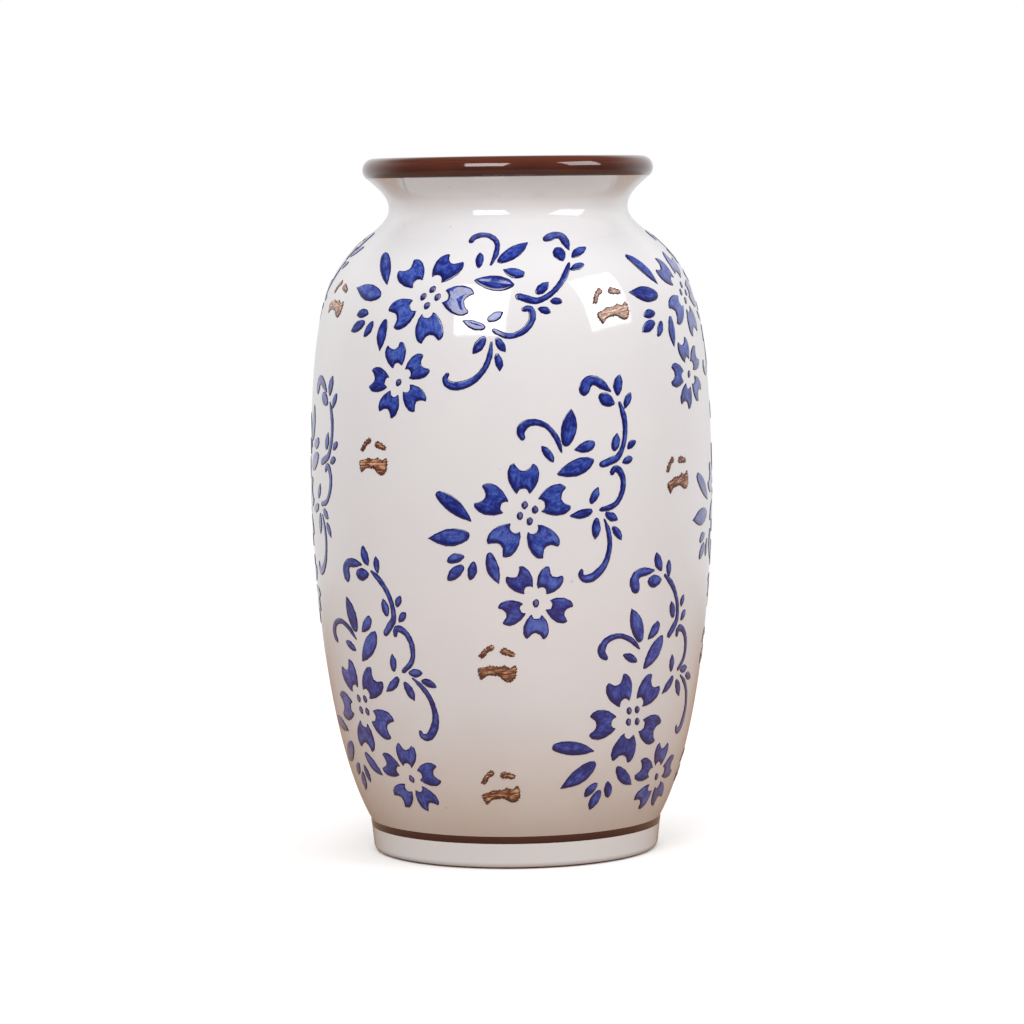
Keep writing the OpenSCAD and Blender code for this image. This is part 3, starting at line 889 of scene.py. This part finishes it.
# %% Group helpers
def new_group(name, inputs, outputs):
    """A node group with named sockets; inputs maps a name to its type and starting value."""
    group = bpy.data.node_groups.new(name, "ShaderNodeTree")
    for label, (kind, value) in inputs.items():
        socket = group.interface.new_socket(name=label, in_out="INPUT", socket_type=kind)
        if value is not None:
            socket.default_value = value
    for label, kind in outputs.items():
        group.interface.new_socket(name=label, in_out="OUTPUT", socket_type=kind)
    ends = group.nodes.new("NodeGroupInput"), group.nodes.new("NodeGroupOutput")
    return group, ends[0], ends[1]


def add(tree, kind, links=None, **settings):
    """Adds a node: links maps an input to a socket or a value, settings are its own options."""
    node = tree.nodes.new(kind)
    for option, value in settings.items():
        setattr(node, option, value)
    for label, value in (links or {}).items():
        socket = node.inputs[label]
        if isinstance(value, bpy.types.NodeSocket):
            tree.links.new(value, socket)
        else:
            socket.default_value = value
    return node


def maths(tree, operation, a, b=0.0, clamp=False):
    """A maths node's result."""
    return add(tree, "ShaderNodeMath", {0: a, 1: b}, operation=operation, use_clamp=clamp).outputs[0]


def spread(tree, value, low, high, to_low=0.0, to_high=1.0):
    """Maps a range smoothly to another."""
    node = add(
        tree, "ShaderNodeMapRange",
        {"Value": value, "From Min": low, "From Max": high, "To Min": to_low, "To Max": to_high},
        interpolation_type="SMOOTHSTEP",
    )
    return node.outputs["Result"]


def mix(tree, share, a, b):
    """Mixes two colours."""
    node = add(tree, "ShaderNodeMix", data_type="RGBA")
    for socket, value in ((node.inputs[0], share), (node.inputs[6], a), (node.inputs[7], b)):
        if isinstance(value, bpy.types.NodeSocket):
            tree.links.new(value, socket)
        else:
            socket.default_value = value
    return node.outputs[2]


def noise(tree, vector, scale, detail=2.0, rough=0.5):
    """A noise value between 0 and 1."""
    links = {"Vector": vector, "Scale": scale, "Detail": detail, "Roughness": rough}
    return add(tree, "ShaderNodeTexNoise", links).outputs["Fac"]


VALUE, COLOUR, VECTOR = "NodeSocketFloat", "NodeSocketColor", "NodeSocketVector"

# %% Melted glaze: ripple and orange peel
ripple_group, given, result = new_group(
    "melted_glaze",
    {"Place": (VECTOR, None), "Ripple": (VALUE, 1.0), "Peel": (VALUE, 0.2)},
    {"Height": VALUE},
)
slow = noise(ripple_group, given.outputs["Place"], 28, 1)
peel = noise(ripple_group, given.outputs["Place"], 420, 2)
slow = maths(ripple_group, "MULTIPLY", slow, given.outputs["Ripple"])
peel = maths(ripple_group, "MULTIPLY", peel, given.outputs["Peel"])
ripple_group.links.new(maths(ripple_group, "ADD", slow, peel), result.inputs["Height"])

# %% Kiln specks
speck_group, given, result = new_group(
    "kiln_specks",
    {"Place": (VECTOR, None), "Size": (VALUE, 260.0), "Amount": (VALUE, 0.12)},
    {"Mask": VALUE},
)
cells = add(
    speck_group, "ShaderNodeTexVoronoi", {"Vector": given.outputs["Place"], "Scale": given.outputs["Size"]}
)
chance = add(speck_group, "ShaderNodeSeparateColor", {"Color": cells.outputs["Color"]}).outputs["Red"]
rare = maths(speck_group, "LESS_THAN", chance, given.outputs["Amount"])
near = spread(speck_group, cells.outputs["Distance"], 0.08, 0.16, 1.0, 0.0)
speck_group.links.new(maths(speck_group, "MULTIPLY", rare, near), result.inputs["Mask"])

# %% Brushed colour
brush_group, given, result = new_group(
    "brushed_colour",
    {
        "Place": (VECTOR, None), "Brush": (VECTOR, None), "Pool": (VALUE, 1.0), "Tone": (VALUE, 0.5),
        "Rim Width": (VALUE, 0.5), "Ragged": (VALUE, 0.4), "Streaky": (VALUE, 0.5),
        "Depth": (VALUE, 0.0), "Dark": (COLOUR, (0, 0, 0.1, 1)),
        "Middle": (COLOUR, (0, 0.1, 0.4, 1)), "Light": (COLOUR, (0.1, 0.2, 0.6, 1)),
        "Thin": (COLOUR, (0.2, 0.2, 0.4, 1)),
    },
    {"Color": COLOUR, "Rim": VALUE, "Streak": VALUE},
)
wobble = maths(brush_group, "SUBTRACT", noise(brush_group, given.outputs["Place"], 1100, 3), 0.5)
wobble = maths(brush_group, "MULTIPLY", wobble, given.outputs["Ragged"])
pool_and_shade = maths(brush_group, "ADD", given.outputs["Pool"], wobble)
rim = maths(brush_group, "DIVIDE", pool_and_shade, given.outputs["Rim Width"])
rim = spread(brush_group, rim, 0.2, 1.0, 1.0, 0.0)
streak = noise(brush_group, given.outputs["Brush"], 1.0, 3, 0.6)
blotch = noise(brush_group, given.outputs["Place"], 330, 4, 0.6)
wash = maths(brush_group, "MULTIPLY", maths(brush_group, "SUBTRACT", streak, 0.5), given.outputs["Streaky"])
wash = maths(brush_group, "ADD", wash, maths(brush_group, "MULTIPLY", blotch, 0.6))
wash = maths(brush_group, "ADD", wash, maths(brush_group, "MULTIPLY", given.outputs["Tone"], 0.12))
wash = maths(brush_group, "ADD", wash, maths(brush_group, "SUBTRACT", 0.25, given.outputs["Depth"]))
lighter = spread(brush_group, wash, 0.55, 0.8)
body = mix(brush_group, lighter, given.outputs["Middle"], given.outputs["Light"])
body = mix(brush_group, spread(brush_group, wash, 0.46, 0.62, 0.8, 0.0), body, given.outputs["Dark"])
touch = spread(brush_group, given.outputs["Tone"], 1.5, 2.5)
body = mix(brush_group, touch, body, given.outputs["Thin"])
brush_group.links.new(mix(brush_group, rim, body, given.outputs["Dark"]), result.inputs["Color"])
brush_group.links.new(rim, result.inputs["Rim"])
brush_group.links.new(streak, result.inputs["Streak"])


# %% [markdown]
# ## The finishes
# Each material keeps its shader to itself. Glaze is glass on clay: its gloss is sharp, and the
# clear coat that lies over colour and cream alike makes it stronger than a plain paint's.

# %% A material with its shader
GLOSS = 0.065  # Roughness of every glaze
COAT = 0.8
BUMP_DEPTH = 0.4 * MM


def new_material(name, roughness, coat=0.0):
    """A material with a Principled shader, and the object's own coordinates."""
    material = bpy.data.materials.new(name)
    material.use_nodes = True
    tree = material.node_tree
    shader = tree.nodes["Principled BSDF"]
    shader.inputs["Roughness"].default_value = roughness
    shader.inputs["IOR"].default_value = 1.5
    shader.inputs["Coat Weight"].default_value = coat
    shader.inputs["Coat IOR"].default_value = 1.6
    shader.inputs["Coat Roughness"].default_value = roughness
    place = add(tree, "ShaderNodeTexCoord").outputs["Object"]
    return material, tree, shader, place


def use_group(tree, group, **values):
    """Places a node group; underscores in the names stand for spaces."""
    node = tree.nodes.new("ShaderNodeGroup")
    node.node_tree = group
    for label, value in values.items():
        socket = node.inputs[label.replace("_", " ")]
        if isinstance(value, bpy.types.NodeSocket):
            tree.links.new(value, socket)
        else:
            socket.default_value = value
    return node


def bump(tree, shader, height_value, depth):
    """A bump whose depth is in metres."""
    node = add(tree, "ShaderNodeBump", {"Height": height_value, "Distance": depth, "Strength": 1.0})
    tree.links.new(node.outputs[0], shader.inputs["Normal"])


# %% Cream tin glaze
# The warm low-body colour is partly glaze run thin over the clay and partly painted shade, darkening the
# lower body where less light falls; the foot's own cream is a touch lighter, painted light on its upright
# side
WHITE, THIN_GLAZE_AND_SHADE, FOOT_CREAM_AND_LIGHT = (0.60, 0.588, 0.596, 1), (0.57, 0.505, 0.46, 1), (0.63, 0.625, 0.625, 1)
SHADED, MILKY, SPECK = (0.53, 0.51, 0.50, 1), (0.66, 0.635, 0.625, 1), (0.32, 0.22, 0.15, 1)
THIN_GLAZE_AND_SHADE_BAND = (0.012, 0.06)  # Heights over which the warm low body turns white
FOOT_BAND = (0.009, 0.0105)
# Heights over which painted shade darkens the glaze under the lip
UNDER_LIP_SHADE_BAND = (0.214, 0.228)


def cream_glaze(name):
    """Milky tin glaze with faint clouds and rare specks: warmer where it runs thin low on the body, darker
    there and under the lip as painted shade, and a touch lighter on the foot as painted light.
    """
    material, tree, shader, place = new_material(name, GLOSS, coat=COAT)
    rise = add(tree, "ShaderNodeSeparateXYZ", {"Vector": place}).outputs["Z"]
    clouds = noise(tree, place, 45, 4, 0.55)
    drift = maths(tree, "MULTIPLY", maths(tree, "SUBTRACT", clouds, 0.5), 0.02)
    level = maths(tree, "ADD", rise, drift)
    # Painted shade with the thin glaze's warmth: the low body turns darker and warmer towards the foot
    base = mix(tree, spread(tree, level, *THIN_GLAZE_AND_SHADE_BAND, 1.0, 0.0), WHITE, THIN_GLAZE_AND_SHADE)
    # The foot band below the line takes a lighter cream: painted light, and free of the painted shade above
    base = mix(tree, spread(tree, rise, *FOOT_BAND, 1.0, 0.0), base, FOOT_CREAM_AND_LIGHT)
    # Painted shade: the neck's flare under the lip turns a darker grey
    base = mix(tree, spread(tree, level, *UNDER_LIP_SHADE_BAND), base, SHADED)
    base = mix(tree, spread(tree, clouds, 0.35, 0.75, 0.0, 0.2), base, MILKY)
    specks = use_group(tree, speck_group, Place=place, Size=260.0, Amount=0.02).outputs["Mask"]
    base = mix(tree, maths(tree, "MULTIPLY", specks, 0.3), base, SPECK)
    tree.links.new(base, shader.inputs["Base Color"])
    melted = use_group(tree, ripple_group, Place=place, Ripple=1.0, Peel=0.05).outputs["Height"]
    dented = maths(tree, "SUBTRACT", melted, maths(tree, "MULTIPLY", specks, 0.12))
    bump(tree, shader, dented, BUMP_DEPTH)
    return material


cream = cream_glaze("cream_tin_glaze")


# %% Brown lip glaze and dark line
def iron_glaze(name, dark, light, low, high):
    """Iron glaze brushed on as the wheel turns: lighter towards its top, with darker streaks."""
    material, tree, shader, place = new_material(name, GLOSS, coat=COAT)
    rise = add(tree, "ShaderNodeSeparateXYZ", {"Vector": place}).outputs["Z"]
    round_lie = add(tree, "ShaderNodeMapping", {"Vector": place, "Scale": (22, 22, 1500)}).outputs[0]
    streaks = maths(tree, "SUBTRACT", noise(tree, round_lie, 1.0, 3, 0.6), 0.5)
    drift = maths(tree, "MULTIPLY", maths(tree, "SUBTRACT", noise(tree, place, 70, 3), 0.5), 0.003)
    level = maths(tree, "ADD", maths(tree, "ADD", rise, drift), maths(tree, "MULTIPLY", streaks, 0.004))
    # Lighter towards the top of the lip and of the foot line
    thin = spread(tree, level, low, high)
    base = mix(tree, thin, dark, light)
    deep = maths(tree, "MULTIPLY", spread(tree, streaks, 0.02, 0.2), 0.5)
    base = mix(tree, deep, base, tuple(c * 0.45 for c in dark[:3]) + (1,))
    tree.links.new(base, shader.inputs["Base Color"])
    melted = use_group(tree, ripple_group, Place=place, Ripple=0.8, Peel=0.08).outputs["Height"]
    bump(tree, shader, melted, BUMP_DEPTH)
    return material


IRON = (0.03, 0.005, 0.003, 1)
lip_brown = iron_glaze("brown_lip_glaze", IRON, (0.09, 0.019, 0.008, 1), low=0.2285, high=0.2345)
line_dark = iron_glaze("dark_foot_line", IRON, (0.055, 0.011, 0.006, 1), low=0.0085, high=0.0115)


# %% Brushed enamels
def enamel(name, dark, middle, light, thin, rim_width, ragged, brush_lie, streaky, depth, ribs):
    """Brushed enamel: pooled dark edges, a washed middle with streaks, and the same gloss."""
    material, tree, shader, place = new_material(name, GLOSS, coat=COAT)
    # The pool attribute carries the pooled enamel rims, widened on the lower left as painted shade
    pool_and_shade = add(tree, "ShaderNodeAttribute", attribute_name="pool_and_shade").outputs["Fac"]
    tone = add(tree, "ShaderNodeAttribute", attribute_name="tone").outputs["Fac"]
    brush = add(tree, "ShaderNodeUVMap", uv_map="brush").outputs["UV"]
    lie = add(tree, "ShaderNodeMapping", {"Vector": brush, "Scale": brush_lie}).outputs[0]
    colour = use_group(
        tree, brush_group, Place=place, Brush=lie, Pool=pool_and_shade, Tone=tone, Rim_Width=rim_width,
        Ragged=ragged, Streaky=streaky, Depth=depth, Dark=dark, Middle=middle, Light=light, Thin=thin,
    )
    tree.links.new(colour.outputs["Color"], shader.inputs["Base Color"])
    melted = use_group(tree, ripple_group, Place=place, Ripple=1.0, Peel=0.1).outputs["Height"]
    ribbed = maths(tree, "ADD", melted, maths(tree, "MULTIPLY", colour.outputs["Streak"], ribs))
    bump(tree, shader, ribbed, BUMP_DEPTH)
    return material


blue = enamel(
    "blue_enamel", (0.003, 0.003, 0.08, 1), (0.016, 0.036, 0.26, 1), (0.065, 0.115, 0.4, 1),
    thin=(0.12, 0.11, 0.27, 1), rim_width=1.15, ragged=0.45, brush_lie=(0.5, 1.1, 1),
    streaky=0.55, depth=0.0, ribs=0.05,
)
brown = enamel(
    "brown_enamel", (0.065, 0.012, 0.006, 1), (0.32, 0.13, 0.06, 1), (0.6, 0.38, 0.22, 1),
    thin=(0.4, 0.2, 0.1, 1), rim_width=0.8, ragged=1.3, brush_lie=(0.3, 1.6, 1),
    streaky=1.5, depth=0.06, ribs=0.8,
)

# %% Bare clay
clay, tree, shader, place = new_material("fired_clay", 0.85)
grain = noise(tree, place, 1400, 4, 0.7)
clouds = noise(tree, place, 60, 3)
base = mix(tree, clouds, (0.42, 0.24, 0.15, 1), (0.52, 0.33, 0.22, 1))
grog = use_group(tree, speck_group, Place=place, Size=900.0, Amount=0.18).outputs["Mask"]
base = mix(tree, maths(tree, "MULTIPLY", grog, 0.6), base, (0.22, 0.12, 0.08, 1))
tree.links.new(base, shader.inputs["Base Color"])
bump(tree, shader, maths(tree, "ADD", grain, grog), 0.00012)

# %% [markdown]
# ## Putting the finishes on
# Every new piece rides on the vase's one body and stands for its node of the frame. The clay wall and the
# lip's coil lie hidden under the glaze, so they keep their own shapes and take the clay finish.

# %% Dress each piece
dressing = [
    (outer_glaze, "outer_glaze", "cream_glaze", cream),
    (inner_glaze, "inner_glaze", "cream_glaze", cream),
    (lip_glaze, "lip_glaze", "brown_glaze", lip_brown),
    (foot_line, "foot_line", "dark_line", line_dark),
    (foot_glaze, "foot_glaze", "cream_glaze", cream),
    (foot_ring, "foot_ring", "clay", clay),
    (clay_floor, "clay_floor", "clay", clay),
]
dressing += [(piece, name, "blue_enamel", blue) for name, piece in sprigs.items()]
dressing += [(piece, name, "brown_enamel", brown) for name, piece in marks.items()]
for piece, node, slot, material in dressing:
    piece.data.materials.clear()
    piece.data.materials.append(material)
    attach(piece, "root")
    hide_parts(node)
for name in ("clay_wall", "lip_roll"):
    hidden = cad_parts[name]
    hidden.data.materials.clear()
    hidden.data.materials.append(clay)
print(len(dressing), "pieces dressed")
